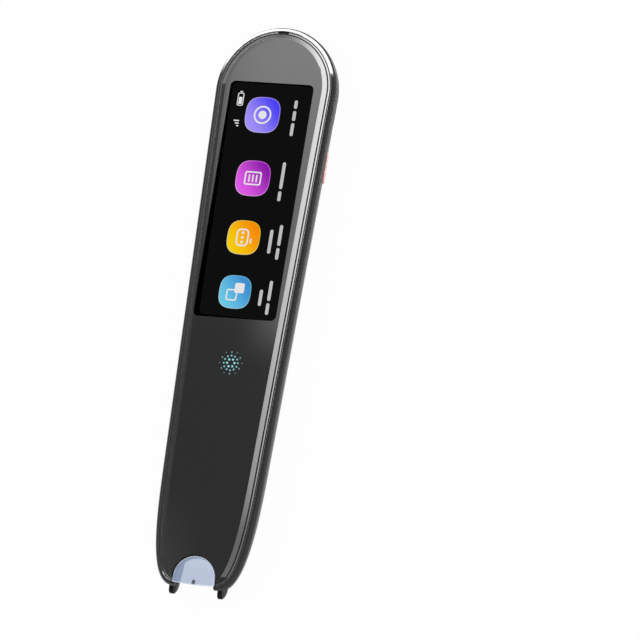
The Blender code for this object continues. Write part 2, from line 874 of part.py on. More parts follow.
black_gloss = finish("black_gloss", (0.012, 0.012, 0.014), 0.12)
satin_black = finish("satin_black", (0.015, 0.016, 0.020), 0.35)
dark_glass = finish("dark_glass", (0.010, 0.010, 0.011), 0.04)
clear_plate = finish("clear_plate", (0.55, 0.62, 0.76), 0.05, alpha=0.4)
light_body = finish("light_body", (0.35, 0.75, 0.80), 0.3)
lens_black = finish("lens_black", (0.02, 0.02, 0.03), 0.1)
board_green = finish("board_green", (0.03, 0.12, 0.06), 0.5)
battery_foil = finish("battery_foil", (0.55, 0.56, 0.58), 0.35, 0.6)
flex_orange = finish("flex_orange", (0.45, 0.22, 0.05), 0.45)
pale_plastic = finish("pale_plastic", (0.75, 0.72, 0.65), 0.5)
chip_black = finish("chip_black", (0.02, 0.02, 0.02), 0.6)
steel = finish("steel", (0.55, 0.56, 0.57), 0.3, 1.0)
key_pink = finish("key_pink", (0.88, 0.50, 0.50), 0.3)

make_back_shell()
make_front_frame()
make_front_glass()
make_scan_window()
make_tip_trigger()
tip_board_end, tip_board_face = make_camera()
make_trigger_switch(tip_board_face)
make_camera_flex(tip_board_face)
make_battery()
make_main_board()
make_board_parts()
make_display()
make_status_light()
make_speaker()
make_power_button()
make_card_socket()
make_usb_socket()
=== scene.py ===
import json
import math

import bmesh
import bpy
from mathutils import Matrix, Vector


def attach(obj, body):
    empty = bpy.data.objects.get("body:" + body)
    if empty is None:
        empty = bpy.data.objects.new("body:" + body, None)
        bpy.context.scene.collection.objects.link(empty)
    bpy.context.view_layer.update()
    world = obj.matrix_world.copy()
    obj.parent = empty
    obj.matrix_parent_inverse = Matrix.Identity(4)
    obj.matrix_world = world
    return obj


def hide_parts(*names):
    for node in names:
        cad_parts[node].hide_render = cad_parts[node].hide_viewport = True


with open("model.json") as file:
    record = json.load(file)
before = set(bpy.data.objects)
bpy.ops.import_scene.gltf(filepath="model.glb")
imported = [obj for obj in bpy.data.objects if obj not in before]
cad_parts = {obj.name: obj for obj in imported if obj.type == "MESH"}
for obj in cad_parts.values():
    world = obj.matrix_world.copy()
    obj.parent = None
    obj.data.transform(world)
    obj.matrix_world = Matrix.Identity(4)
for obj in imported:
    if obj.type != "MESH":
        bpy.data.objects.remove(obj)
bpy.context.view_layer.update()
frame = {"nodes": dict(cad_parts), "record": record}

print("frame loaded:", len(frame["nodes"]), "nodes")


class Field:
    # a number or colour that varies over a surface; arithmetic on it adds Math nodes
    def __init__(self, recipe, socket):
        self.recipe = recipe
        self.socket = socket

    def math(self, operation, *values):
        return self.recipe.node("ShaderNodeMath", {"operation": operation}, values)

    def __add__(self, other):
        return self.math("ADD", self, other)

    def __sub__(self, other):
        return self.math("SUBTRACT", self, other)

    def __rsub__(self, other):
        return self.math("SUBTRACT", other, self)

    def __mul__(self, other):
        return self.math("MULTIPLY", self, other)

    def __truediv__(self, other):
        return self.math("DIVIDE", self, other)

    __radd__ = __add__
    __rmul__ = __mul__

    def power(self, exponent):
        return self.math("POWER", self, exponent)

    def rise(self, low, high):
        # 0 below low and 1 above high, smoothly
        settings = {"interpolation_type": "SMOOTHSTEP"}
        values = {"Value": self, "From Min": low, "From Max": high}
        return self.recipe.node("ShaderNodeMapRange", settings, values)


class Recipe:
    # one material and its nodes
    mixSockets = {"share": 0, "first": 6, "second": 7, "result": 2}

    def __init__(self, name):
        self.material = bpy.data.materials.new(name)
        self.material.use_nodes = True
        self.tree = self.material.node_tree
        self.shader = self.tree.nodes["Principled BSDF"]
        self.output = self.tree.nodes["Material Output"]

    def node(self, kind, settings=None, values=(), output=0):
        made = self.tree.nodes.new(kind)
        for name, setting in (settings or {}).items():
            setattr(made, name, setting)
        pairs = values.items() if isinstance(values, dict) else enumerate(values)
        for key, value in pairs:
            self.feed(made.inputs[key], value)
        return Field(self, made.outputs[output])

    def feed(self, socket, value):
        if isinstance(value, Field):
            self.tree.links.new(value.socket, socket)
        else:
            socket.default_value = value

    def place(self):
        return self.node("ShaderNodeTexCoord", output="Object")

    def axes(self):
        split = self.node("ShaderNodeSeparateXYZ", values=[self.place()])
        return [Field(self, socket) for socket in split.socket.node.outputs]

    def noise(self, scale, detail=2.0, stretch=None):
        place = self.place()
        if stretch:
            place = self.node("ShaderNodeMapping", values={"Vector": place, "Scale": stretch})
        return self.node("ShaderNodeTexNoise", values={"Vector": place, "Scale": scale, "Detail": detail})

    def blend(self, share, first, second):
        places = self.mixSockets
        values = {places["share"]: share, places["first"]: first, places["second"]: second}
        return self.node("ShaderNodeMix", {"data_type": "RGBA"}, values, places["result"])

    def bump(self, height, strength, distance):
        values = {"Strength": strength, "Distance": distance, "Height": height}
        return self.node("ShaderNodeBump", values=values, output="Normal")

    def finish(self, **inputs):
        for name, value in inputs.items():
            self.feed(self.shader.inputs[socketNames[name]], value)
        return self.material

    def lamp(self, color, strength=1.0):
        # a surface that only glows
        return self.finish(color=shade(0.0), roughness=0.5, specular=0.0, emission=color, glow=strength)


socketNames = {
    "color": "Base Color", "roughness": "Roughness", "metallic": "Metallic", "ior": "IOR", "alpha": "Alpha",
    "emission": "Emission Color", "glow": "Emission Strength", "normal": "Normal",
    "specular": "Specular IOR Level",
}


def shade(level, tint=(1.0, 1.0, 1.0)):
    return (level * tint[0], level * tint[1], level * tint[2], 1.0)


def screenColor(red, green, blue):
    # a colour as a screen writes it, made linear
    channels = (red / 255, green / 255, blue / 255)
    return (*(level / 12.92 if level < 0.04045 else ((level + 0.055) / 1.055) ** 2.4 for level in channels), 1.0)


outline = {
    "bodyLength": 0.1457, "headRadius": 0.0167, "headHalfWidth": 0.0164, "noseLength": 0.0337,
    "noseHalfWidth": 0.01385, "noseFullness": 3.5, "coreHalfWidth": 0.0036, "mouthHalfWidth": 0.0061,
    "mouthStep": 0.00002,
    "headSteps": 52, "sideSteps": 26, "noseSteps": 56,
}
section = {
    "thickness": 0.0101, "parting": 0.0080, "hullInset": 0.0106, "hullFullness": 2.5, "hullSteps": 30,
    "noseLift": 0.0041, "noseLiftLength": 0.030, "wall": 0.0012, "legEnd": 0.0012, "middle": 0.07195,
    "rimRounding": 0.00014, "rimSteps": 4, "below": -0.002, "above": 0.0121, "pastTip": -0.005,
    "tipInsets": ((0.0, 0.0), (0.00105, 0.00095), (0.0019, 0.0015), (0.0022, 0.0018), (0.0032, 0.00215)),
}


def sideHalfWidth(along):
    straight = outline["bodyLength"] - outline["headRadius"] - outline["noseLength"]
    share = (along - outline["noseLength"]) / straight
    return outline["noseHalfWidth"] + (outline["headHalfWidth"] - outline["noseHalfWidth"]) * share


def halfOutline():
    # the right half, from the middle of the head to the mouth at the tip, as (across, along) places
    centre = outline["bodyLength"] - outline["headRadius"]
    places = []
    for step in range(outline["headSteps"]):
        turn = math.pi / 2 * step / outline["headSteps"]
        across = outline["headHalfWidth"] * math.sin(turn)
        places.append((across, centre + outline["headRadius"] * math.cos(turn)))
    for step in range(outline["sideSteps"]):
        along = centre - (centre - outline["noseLength"]) * step / outline["sideSteps"]
        places.append((sideHalfWidth(along), along))
    power = 2 / outline["noseFullness"]
    core = outline["coreHalfWidth"]
    lastTurn = math.acos(((outline["mouthHalfWidth"] - core) / (sideHalfWidth(0.0) - core)) ** (1 / power))
    for step in range(outline["noseSteps"] + 1):
        turn = lastTurn * step / outline["noseSteps"]
        along = outline["noseLength"] * (1 - (math.sin(turn) / math.sin(lastTurn)) ** power)
        places.append((core + (sideHalfWidth(along) - core) * math.cos(turn) ** power, along))
    return places


def outwardFrom(places):
    normals = [Vector((0.0, 1.0))]
    for before, after in zip(places, places[2:]):
        run = Vector(after) - Vector(before)
        normals.append(Vector((-run.y, run.x)).normalized())
    last = Vector(places[-1]) - Vector(places[-2])
    return normals + [Vector((0.0, last.length / last.x))]


outlinePlaces = halfOutline()
outlineNormals = outwardFrom(outlinePlaces)


def ringAt(inset, height, tip):
    # the whole outline at a height, set in by a length that may differ at the tip
    right = []
    for (across, along), normal in zip(outlinePlaces, outlineNormals):
        alongInset = inset if normal.y > 0 else tip
        right.append([max(across - normal.x * inset, 0.0), along - normal.y * alongInset])
    for step in range(len(right) - 2, outline["headSteps"] + outline["sideSteps"], -1):
        right[step][0] = max(right[step][0], right[step + 1][0] + outline["mouthStep"])
        right[step][1] = max(right[step][1], right[step + 1][1])
    whole = right + [[-across, along] for across, along in right[1:]][::-1]
    return [(x, y - section["middle"], height) for x, y in whole]


def tipInset(inset):
    # the glass and the lip draw together towards the mouth
    pairs = section["tipInsets"]
    for (low, lowTip), (high, highTip) in zip(pairs, pairs[1:]):
        if inset <= high:
            return lowTip + (highTip - lowTip) * (inset - low) / (high - low)
    return inset + pairs[-1][1] - pairs[-1][0]


def ladder(first, count, upward):
    # closes a ring that is the same on both sides with faces across it
    half = (count - 1) // 2
    faces = [(first, first + 1, first + count - 1)]
    for step in range(1, half):
        faces.append((first + step, first + step + 1, first + count - step - 1, first + count - step))
    return [face[::-1] for face in faces] if upward else faces


def meshOf(name, points, faces):
    mesh = bpy.data.meshes.new(name)
    mesh.from_pydata(points, [], faces)
    work = bmesh.new()
    work.from_mesh(mesh)
    bmesh.ops.recalc_face_normals(work, faces=work.faces)
    work.to_mesh(mesh)
    work.free()
    return mesh


def bodyOf(name, mesh):
    body = bpy.data.objects.new(name, mesh)
    bpy.context.scene.collection.objects.link(body)
    return body


def sides(count, levels):
    # the faces between rings that lie one after another
    faces = []
    for low in range(0, (levels - 1) * count, count):
        for step in range(count):
            after = (step + 1) % count
            faces.append((low + step, low + after, low + count + after, low + count + step))
    return faces


def outlineBody(name, rings):
    count = len(rings[0])
    points = [point for ring in rings for point in ring]
    last = (len(rings) - 1) * count
    faces = ladder(0, count, False) + sides(count, len(rings)) + ladder(last, count, True)
    return bodyOf(name, meshOf(name, points, faces))


def stackedBody(name, rings):
    count = len(rings[0])
    points = [point for ring in rings for point in ring]
    last = (len(rings) - 1) * count
    faces = [tuple(range(count)), tuple(range(last, last + count))] + sides(count, len(rings))
    return bodyOf(name, meshOf(name, points, faces))


def eased(profile, radii, steps):
    # rounds the corners of a line of (inset, height) places
    line = [profile[0]]
    for before, corner, after, radius in zip(profile, profile[1:], profile[2:], radii):
        if not radius:
            line.append(corner)
            continue
        corner = Vector(corner)
        one = (Vector(before) - corner).normalized()
        two = (Vector(after) - corner).normalized()
        half = one.angle(two) / 2
        centre = corner + (one + two).normalized() * radius / math.sin(half)
        start = corner + one * radius / math.tan(half) - centre
        end = corner + two * radius / math.tan(half) - centre
        line += [tuple(centre + start.slerp(end, step / steps) * radius) for step in range(steps + 1)]
    return line + [profile[-1]]


def prism(name, profile, low, high, axis="Z", shift=(0.0, 0.0, 0.0)):
    rings = []
    for end in (low, high):
        places = {"X": [(end, a, b) for a, b in profile], "Y": [(a, end, b) for a, b in profile]}
        ring = places.get(axis, [(a, b, end) for a, b in profile])
        rings.append([tuple(value + move for value, move in zip(point, shift)) for point in ring])
    return stackedBody(name, rings)


def stadium(length, width, slant=0.0, centre=(0.0, 0.0), steps=14):
    radius = width / 2
    straight = length / 2 - radius
    line = []
    for end in (1, -1):
        for step in range(steps + 1):
            turn = math.pi * step / steps - math.pi / 2
            line.append((end * (straight + radius * math.cos(turn)), end * radius * math.sin(turn)))
    cos, sin = math.cos(slant), math.sin(slant)
    return [(centre[0] + x * cos - y * sin, centre[1] + x * sin + y * cos) for x, y in line]


def roundedBox(width, length, radius, centre, steps=8):
    line = []
    for quarter, (sx, sy) in enumerate(((1, 1), (-1, 1), (-1, -1), (1, -1))):
        for step in range(steps + 1):
            turn = math.pi / 2 * (quarter + step / steps)
            x = sx * (width / 2 - radius) + radius * math.cos(turn)
            y = sy * (length / 2 - radius) + radius * math.sin(turn)
            line.append((centre[0] + x, centre[1] + y))
    return line


def circle(radius, centre, steps=48):
    turns = [2 * math.pi * step / steps for step in range(steps)]
    return [(centre[0] + radius * math.cos(turn), centre[1] + radius * math.sin(turn)) for turn in turns]


def arch(halfWidth, apex, foot, sag=0.0, steps=48):
    # in world places: straight sides, a round top and a foot that may bow down
    spring = apex - halfWidth
    line = [(halfWidth, foot)]
    for step in range(2 * steps + 1):
        turn = math.pi * step / (2 * steps)
        line.append((halfWidth * math.cos(turn), spring + halfWidth * math.sin(turn)))
    line.append((-halfWidth, foot))
    if sag:
        for step in range(1, steps):
            share = step / steps
            line.append((halfWidth * (2 * share - 1), foot - sag * 4 * share * (1 - share)))
    return [(x, y - section["middle"]) for x, y in line]


def boxBetween(name, across, along, heights):
    profile = [(across[0], along[0]), (across[1], along[0]), (across[1], along[1]), (across[0], along[1])]
    return prism(name, [(x, y - section["middle"]) for x, y in profile], *heights)


def carve(body, tools, operation="DIFFERENCE"):
    for tool in tools:
        step = body.modifiers.new(tool.name, "BOOLEAN")
        step.operation = operation
        step.solver = "EXACT"
        step.object = tool
    settle(body)
    for tool in tools:
        bpy.data.objects.remove(tool)
    return body


def settle(body):
    # turns live modifiers into plain mesh
    graph = bpy.context.evaluated_depsgraph_get()
    mesh = bpy.data.meshes.new_from_object(body.evaluated_get(graph))
    body.modifiers.clear()
    body.data = mesh
    return body


def soften(body, width, segments, angle=40):
    step = body.modifiers.new("Rounding", "BEVEL")
    step.width = width
    step.segments = segments
    step.limit_method = "ANGLE"
    step.angle_limit = math.radians(angle)
    return settle(body)


def smooth(body, angle=32):
    body.data.shade_smooth()
    body.data.set_sharp_from_angle(angle=math.radians(angle))
    return body


def dress(body, material, slot, *replaced, ride="pen"):
    body.data.materials.clear()
    body.data.materials.append(material)
    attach(body, ride)
    if replaced:
        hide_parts(*replaced)
    return body


def paintWhere(body, material, test):
    # gives a second material to the faces whose centre passes the test
    body.data.materials.append(material)
    index = len(body.data.materials) - 1
    for face in body.data.polygons:
        if test(face.center, face.normal):
            face.material_index = index


def grained(name, first, second, scale, detail=3.0, stretch=None, roughness=0.4, spread=0.15, alpha=None,
            bump=0.05, **rest):
    # two colours mixed by a fine noise, which also moves the roughness and, where it is given, the alpha
    recipe = Recipe(name)
    grain = recipe.noise(scale, detail, stretch)
    if alpha:
        rest["alpha"] = grain * alpha[1] + alpha[0]
    if bump:
        rest["normal"] = recipe.bump(grain, bump, grainDepth)
    color = recipe.blend(grain, (*first[:3], 1.0), (*second[:3], 1.0))
    return recipe.finish(color=color, roughness=grain * spread + roughness, **rest)


def grainedLamp(name, first, second, scale, detail):
    recipe = Recipe(name)
    return recipe.lamp(recipe.blend(recipe.noise(scale, detail), first, second))


grainDepth = 0.0001
gloss = {
    "smudge": (90.0, 3.0, (1.0, 0.35, 1.0)), "dust": (2600.0, 2.0), "haze": (35.0, 4.0), "peel": (420.0, 1.0),
    "hazeRise": (0.45, 0.75), "dustRise": (0.62, 0.8), "dustSpread": 0.02, "peelDepth": 0.0002,
    "smudgeLift": 1.35, "tints": ((0.92, 0.95, 1.1), (0.95, 0.97, 1.1)),
}


def glossBlack(name, level=0.010, base=0.07, spread=0.06, ior=1.5, peeling=0.008):
    # polished plastic with smudges, dust and a faint orange peel
    recipe = Recipe(name)
    clean, smudged = gloss["tints"]
    color = recipe.blend(recipe.noise(*gloss["smudge"]), shade(level, clean),
                         shade(level * gloss["smudgeLift"], smudged))
    haze = recipe.noise(*gloss["haze"]).rise(*gloss["hazeRise"])
    dust = recipe.noise(*gloss["dust"]).rise(*gloss["dustRise"])
    peel = recipe.noise(*gloss["peel"])
    return recipe.finish(color=color, roughness=haze * spread + base + dust * gloss["dustSpread"], ior=ior,
                         normal=recipe.bump(peel, peeling, gloss["peelDepth"]))


coverLook = {
    "grain": (5200.0, 1.0), "haze": (42.0, 4.0, (1.0, 0.6, 1.0)), "hazeRise": (0.5, 0.8),
    "shades": (0.0050, 0.0070), "roughness": 0.05, "spread": 0.05,
}


def coverPrint():
    recipe = Recipe("coverGlass")
    haze = recipe.noise(*coverLook["haze"]).rise(*coverLook["hazeRise"])
    color = recipe.blend(recipe.noise(*coverLook["grain"]), *(shade(level) for level in coverLook["shades"]))
    return recipe.finish(color=color, roughness=haze * coverLook["spread"] + coverLook["roughness"], ior=1.5)


linerLook = {
    "grain": (3200.0, 2.0), "patch": (160.0, 2.0), "shades": (0.003, 0.006), "tint": (0.85, 0.95, 1.25),
    "roughness": 0.10, "spread": 0.08, "bump": 0.02, "specular": 0.12,
}


def satinBlack():
    recipe = Recipe("linerSatin")
    grain = recipe.noise(*linerLook["grain"])
    darks = (shade(level, linerLook["tint"]) for level in linerLook["shades"])
    return recipe.finish(
        color=recipe.blend(recipe.noise(*linerLook["patch"]), *darks),
        roughness=grain * linerLook["spread"] + linerLook["roughness"],
        specular=linerLook["specular"],
        normal=recipe.bump(grain, linerLook["bump"], grainDepth),
    )


shellBlack = glossBlack("shellBlack")
frameBlack = glossBlack("frameBlack", level=0.008, base=0.08, spread=0.02, peeling=0.002)
lipBlack = glossBlack("lipBlack", level=0.009, base=0.09, spread=0.02, ior=1.56, peeling=0.001)
# near-black matte for the microphone slot's floor and walls: painted shade standing for the dark depth of the hole
slotPaintedShade = grained("slotPaintedShade", shade(0.0), shade(0.002), 900.0, roughness=0.7)
glassPrint = coverPrint()
linerSatin = satinBlack()
print("finishes made")


shot = {
    "yaw": -0.3638, "pitch": -0.1734, "roll": -0.1578, "lens": 214.714, "distance": 0.96928,
    "shift": (-0.018707, -0.002801), "target": (0.0, 0.00071, 0.0041), "clip": (0.05, 50.0),
}


def addCamera():
    turn = (Matrix.Rotation(shot["roll"], 3, "Z") @ Matrix.Rotation(shot["pitch"], 3, "X")
            @ Matrix.Rotation(shot["yaw"], 3, "Y")).transposed()
    data = bpy.data.cameras.new("photoCamera")
    data.lens = shot["lens"]
    data.clip_start, data.clip_end = shot["clip"]
    camera = bodyOf("photoCamera", data)
    camera.rotation_mode = "QUATERNION"
    camera.rotation_quaternion = turn.to_quaternion()
    place = turn @ Vector((-shot["shift"][0], shot["shift"][1], shot["distance"]))
    camera.location = place + Vector(shot["target"])
    bpy.context.scene.camera = camera


addCamera()
print("camera placed")


shell = {
    "notchHalfWidth": 0.0075, "notchApex": 0.01425, "trimHalf": 0.02,
    "grilleAlong": 0.1290, "slotWidth": 0.00072, "slotTop": 0.0015, "pitch": 0.00186, "first": 0.00093,
    "rise": 0.0022, "lengths": (0.0053, 0.0033, 0.0016), "slant": math.radians(31), "slantLength": 0.0050,
    "slantMiddle": 0.0029, "slantRises": (0.0034, 0.0013),
    "cardHole": (0.0127, 0.0010), "cardPlace": 0.12815, "cardHeight": 0.0053, "cardReach": (0.0131, 0.0185),
    "keyHole": (0.0086, 0.0026), "keyPlace": 0.11065, "keyHeight": 0.0049, "keyReach": (0.0109, 0.0185),
    "usbHole": (0.0092, 0.0035), "usbHeight": 0.0039, "usbReach": (0.1371, 0.148),
}


def hullRings(margin, floor, tip):
    # from the back up to the parting line; margin and floor make room for a wall
    reach = section["hullInset"] - margin
    power = 2 / section["hullFullness"]
    depth = section["parting"] - floor
    rings = []
    for level in range(section["hullSteps"], -1, -1):
        turn = math.pi / 2 * level / section["hullSteps"]
        inset = margin + reach * (1 - max(math.cos(turn), 0.0) ** power)
        drop = depth * math.sin(turn) ** power
        ring = ringAt(inset, 0.0, tip)
        rings.append([(x, y, section["parting"] - drop * noseShare(y + section["middle"])) for x, y, _ in ring])
    return rings


def noseShare(along):
    # how much of its depth the hull keeps as the nose lifts
    left = max(1 - max(along, 0.0) / section["noseLiftLength"], 0.0)
    return 1 - section["noseLift"] / section["parting"] * left**2


def grilleTools():
    # three upright slots to each side of the middle and two slanted ones across from them
    slots = [(-(shell["first"] + shell["pitch"] * order), shell["rise"], math.pi / 2, length)
             for order, length in enumerate(shell["lengths"])]
    slots += [(shell["slantMiddle"], rise, -shell["slant"], shell["slantLength"]) for rise in shell["slantRises"]]
    tools = []
    for aside, rise, slant, length in slots:
        for side in (1, -1):
            centre = (side * aside, shell["grilleAlong"] - section["middle"] + side * rise)
            line = stadium(length, shell["slotWidth"], slant, centre)
            tools.append(prism("slot", line, section["below"], shell["slotTop"]))
    return tools


def notchTool(low, high):
    line = arch(shell["notchHalfWidth"], shell["notchApex"], section["pastTip"])
    return prism("notch", line, low, high)


def makeBackShell():
    rounding, steps = section["rimRounding"], section["rimSteps"]
    outer = hullRings(0.0, 0.0, 0.0)[:-1]
    for step in range(steps + 1):
        turn = math.pi / 2 * step / steps
        inset = rounding * (1 - math.cos(turn))
        outer.append(ringAt(inset, section["parting"] - rounding * (1 - math.sin(turn)), inset))
    inner = hullRings(section["wall"], section["wall"], section["legEnd"] + section["wall"])
    body = outlineBody("backShell", outer + inner[::-1])
    heights = (section["below"], section["thickness"])
    trim = ((-shell["trimHalf"], shell["trimHalf"]), (section["pastTip"], section["legEnd"]), heights)
    tools = [notchTool(*heights), boxBetween("legTrim", *trim)]
    tools += grilleTools()
    for name in ("card", "key"):
        shift = (0.0, shell[f"{name}Place"] - section["middle"], shell[f"{name}Height"])
        tools.append(prism(name, stadium(*shell[f"{name}Hole"]), *shell[f"{name}Reach"], "X", shift))
    reach = [along - section["middle"] for along in shell["usbReach"]]
    tools.append(prism("usb", stadium(*shell["usbHole"]), *reach, "Y", (0.0, 0.0, shell["usbHeight"])))
    carve(body, tools)
    dress(smooth(body), shellBlack, "shell_gloss", "back_shell")


makeBackShell()
print("back shell made")


front = {
    "skirt": (0.0015, 0.0023), "skirtUnder": 0.0066, "webUnder": 0.0082, "webTop": 0.0090, "under": 0.0083,
    "shoulder": (0.0004, 0.00895), "lipFoot": (0.00098, 0.00918), "outerBead": (0.001168, 0.00934),
    "groove": (0.00142, 0.00921), "innerBead": (0.00174, 0.00943), "lipEnd": (0.00203, 0.00937),
    "radii": (0.0, 0.0, 0.0, 0.00015, 0.00012, 0.00016, 0.00008), "radiusSteps": 6, "sharpFrom": 18,
    "underInset": 0.0005, "gap": 0.0003, "tipWall": 0.0008, "beadFoot": 0.00925, "notchTop": 0.00825,
    "ledge": 0.0004, "lipFacing": -0.2, "slotFacing": (0.99, 0.9),
    "screenHole": ((-0.0124, 0.0124), (0.0653, 0.1324), (0.0062, 0.0101)),
    "lightHole": 0.0036, "lightHoleHeights": (0.006, 0.0101),
    "microphoneHalf": 0.0015, "microphoneAlong": (-0.0004, 0.0003), "microphoneHeights": (0.0087, 0.0101),
    "slotMargin": 0.00002, "slotAlong": (-0.0005, 0.0004), "slotHeights": (0.0086, 0.00925), "slotFloor": 0.00905,
}
window = {
    "halfWidth": 0.0056, "apex": 0.0079, "foot": 0.0009, "sag": 0.0002, "rounding": 0.00016, "gap": 0.0003,
    # the facing range of the rounded edge that carries a painted highlight
    "easedShare": 0.3, "highlightFacing": (0.1, 0.97),
    "mark": ((-0.00028, 0.00062), (0.00078, 0.00185)), "markHeights": (0.01006, 0.010108),
}
display = {
    "span": (0.06905, 0.13040), "across": (-0.01162, 0.0107), "corner": 0.0014, "faceTop": 0.0090,
    "panelSpan": (0.0668, 0.1321), "panelHalf": 0.0121, "panelUnder": 0.0083,
    "faceCorner": 0.0013, "faceDepth": 0.00003, "paneGap": 0.00001,
    "active": ((-0.01155, 0.01060), (0.06930, 0.13032)),
    "faceShifts": ((0.00095, 0.00015), (0.0, 0.0), (-0.0001, 0.0001), (0.0001, 0.0002)),
    "holeShifts": ((-0.00022, -0.00040), (0.0, 0.0), (-0.00022, 0.00015), (0.00030, 0.00030)),
}
status = {"centre": (0.0006, 0.0574)}


def makeFrontFrame():
    outer, inner = front["skirt"]
    tip = section["legEnd"] + section["wall"] + front["gap"]
    rings = [
        ringAt(inner, front["webUnder"], tip + front["tipWall"]),
        ringAt(inner, front["skirtUnder"], tip + front["tipWall"]),
        ringAt(outer, front["skirtUnder"], tip), ringAt(outer, front["under"], tip),
    ]
    line = [
        (front["underInset"], front["under"]), (0.0, front["under"]), front["shoulder"], front["lipFoot"],
        front["outerBead"], front["groove"], front["innerBead"], front["lipEnd"],
        (front["lipEnd"][0], front["webTop"]),
    ]
    profile = eased(line, front["radii"], front["radiusSteps"])[1:]
    rings += [ringAt(inset, height, tipInset(inset)) for inset, height in profile]
    body = outlineBody("frontFrame", rings)
    ledge = window["halfWidth"] - front["ledge"]
    pocket = window["halfWidth"] + window["gap"]
    spring = window["apex"] - window["halfWidth"]
    centre = (status["centre"][0], status["centre"][1] - section["middle"])
    beadMiddle = outline["bodyLength"] - front["groove"][0]
    half = front["microphoneHalf"]
    carve(body, [
        notchTool(0.0, front["notchTop"]),
        prism("opening", arch(ledge, spring + ledge, section["pastTip"]), 0.0, section["thickness"]),
        prism("pocket", arch(pocket, spring + pocket, section["pastTip"]), front["webTop"], section["above"]),
        boxBetween("screenHole", *front["screenHole"]),
        prism("lightHole", circle(front["lightHole"], centre), *front["lightHoleHeights"]),
        boxBetween("microphone", (-half, half), [beadMiddle + step for step in front["microphoneAlong"]],
                   front["microphoneHeights"]),
    ])

    def onLip(place, normal):
        return place.z > front["beadFoot"] and normal.z > front["lipFacing"]

    # the floor and walls of the shallow microphone pocket, painted near-black as shade
    def inShadedSlot(place, normal):
        along = place.y + section["middle"] - beadMiddle
        (start, end), (low, high) = front["slotAlong"], front["slotHeights"]
        upright, sideways = front["slotFacing"]
        near = abs(place.x) <= half + front["slotMargin"] and start < along < end and low < place.z < high
        return near and (normal.z > upright or abs(normal.x) > sideways or place.z < front["slotFloor"])

    dress(smooth(body, front["sharpFrom"]), frameBlack, "shell_gloss", "front_frame")
    paintWhere(body, lipBlack, onLip)
    paintWhere(body, slotPaintedShade, inShadedSlot)


makeFrontFrame()
print("front frame made")


cover = {
    "inset": 0.00208, "under": 0.0093, "edge": 0.00947, "chamfer": 0.00112, "faceInset": 0.001,
    "roundings": (0.00006, 0.00008), "roundingSteps": 5, "notchUnder": 0.0073, "holeUnder": 0.0085,
    "sharpFrom": 20,
}


def pulledBox(across, span, corner, shifts, grow=0.0):
    # a rounded rectangle whose four corners are drawn out a little, low ones first and left before right
    (left, right), (low, high) = across, span
    centre = ((left + right) / 2, (low + high) / 2 - section["middle"])
    size = (right - left + 2 * grow, high - low + 2 * grow)
    line = []
    for x, y in roundedBox(*size, corner + grow, centre):
        u = (x - left) / (right - left)
        v = (y + section["middle"] - low) / (high - low)
        shares = ((1 - u) * (1 - v), u * (1 - v), (1 - u) * v, u * v)
        line.append((x + sum(share * shift[0] for share, shift in zip(shares, shifts)),
                     y + sum(share * shift[1] for share, shift in zip(shares, shifts))))
    return line


def screenOutline(grow=0.0):
    # the opening in the cover glass over the display
    return pulledBox(display["across"], display["span"], display["corner"], display["holeShifts"], grow)


def makeCoverGlass():
    flat = cover["inset"] + cover["chamfer"]
    top = section["thickness"]
    line = [(cover["inset"], cover["under"]), (cover["inset"], cover["edge"]), (flat, top),
            (flat + cover["faceInset"], top)]
    profile = eased(line, cover["roundings"], cover["roundingSteps"])
    body = outlineBody("coverGlass", [ringAt(inset, height, tipInset(inset)) for inset, height in profile])
    notch = arch(window["halfWidth"] + window["gap"], window["apex"] + window["gap"], section["pastTip"])
    carve(body, [prism("notch", notch, cover["notchUnder"], section["above"]),
                 prism("hole", screenOutline(), cover["holeUnder"], section["above"])])
    dress(smooth(body, cover["sharpFrom"]), glassPrint, "cover_glass", "front_glass")


def makeDisplay():
    half, top = display["panelHalf"], display["faceTop"]
    panel = boxBetween("displayPanel", (-half, half), display["panelSpan"], (display["panelUnder"], top))
    border = grained("displayBorder", shade(0.0), shade(0.001), 3000.0, 2.0, roughness=0.5, spread=0.0, bump=0.0,
                     specular=0.0)
    dress(smooth(panel), border, "cover_glass", "display_panel")
    line = pulledBox(*display["active"], display["faceCorner"], display["faceShifts"])
    face = prism("displayFace", line, top, top + display["faceDepth"])
    dress(smooth(face), grainedLamp("displayFace", shade(0.0046), shade(0.0058), 6000.0, 1.0), "cover_glass")
    pane = prism("displayPane", screenOutline(-display["paneGap"]), cover["edge"], section["thickness"])
    clear = grained("clearPane", shade(0.0), shade(0.0), 60.0, roughness=0.04, spread=0.04, alpha=(0.03, 0.02),
                    bump=0.0, specular=0.0)
    dress(smooth(pane), clear, "cover_glass")


tiles = {
    "places": ((-0.00215, 0.12228), (-0.00197, 0.10556), (-0.00189, 0.09003), (-0.00181, 0.07581)),
    "sizes": (0.0094, 0.0093, 0.0089, 0.0086), "fullness": 2.9, "low": 0.00904, "high": 0.00910,
    "rim": 0.00018, "rimGap": 0.00002, "rimPale": 0.45, "rimGlow": 0.8, "slide": (0.4, 0.3),
    "slideRise": (-0.1, 1.1), "signHeights": (0.00911, 0.00914),
    "lows": ((168, 150, 255), (232, 96, 240), (255, 214, 10), (110, 208, 238)),
    "highs": ((70, 62, 250), (138, 24, 170), (255, 138, 10), (64, 142, 214)),
}


def tileGlow(name, low, high, centre, half, strength=1.0):
    # a tile lit by the display, its colour sliding across it
    recipe = Recipe(name)
    x, y, _ = recipe.axes()
    slide = ((x - centre[0]) * tiles["slide"][0] + (y - centre[1]) * tiles["slide"][1]) / half + 0.5
    return recipe.lamp(recipe.blend(slide.rise(*tiles["slideRise"]), low, high), strength)


def squircle(size, centre, steps=96):
    power = 2 / tiles["fullness"]
    line = []
    for step in range(steps):
        turn = 2 * math.pi * step / steps
        cos, sin = math.cos(turn), math.sin(turn)
        x = math.copysign(abs(cos) ** power, cos) * size / 2
        y = math.copysign(abs(sin) ** power, sin) * size / 2
        line.append((centre[0] + x, centre[1] + y))
    return line


